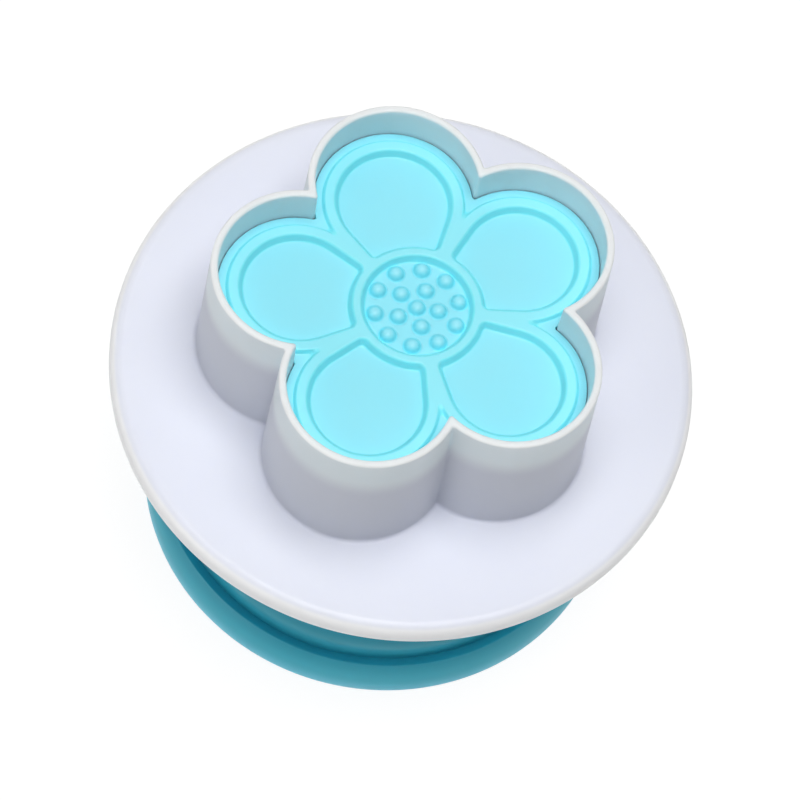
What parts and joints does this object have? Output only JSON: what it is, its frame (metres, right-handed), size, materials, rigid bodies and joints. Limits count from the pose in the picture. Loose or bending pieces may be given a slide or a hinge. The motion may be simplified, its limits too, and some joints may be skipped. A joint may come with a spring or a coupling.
{
  "type": "cookie cutter",
  "caption": "Spring plunger cookie cutter with a flower-shaped blade on a round flange, an embossing stamp inside and a round push pad.",
  "frame": {"origin": "centre of the palm cap's rest ring, on the plunger's axis", "axes": "+Z along the plunger's axis from the palm cap towards the cutting rim, +Y through the middle of one petal"},
  "size_m": [0.07, 0.07, 0.0518],
  "materials": {
    "white_plastic": "smooth moulded, slightly translucent in the thin rim",
    "cyan_plastic": "satin moulded",
    "spring_steel": "drawn wire",
    "screw_steel": "zinc plated"
  },
  "bodies": {
    "cutter": {"cutter_body": "white_plastic", "return_spring": "spring_steel"},
    "plunger": {"embossing_stamp": "cyan_plastic", "plunger_hub": "cyan_plastic", "palm_cap": "cyan_plastic", "retaining_screw": "screw_steel"}
  },
  "joints": [
    {"name": "plunger_press", "type": "slide", "parent": "cutter", "child": "plunger", "axis": [0, 0, 1], "range_m": [0, 0.007], "stiffness_N_per_m": 500, "springref_m": -0.008, "deforming": ["return_spring"]}
  ]
}
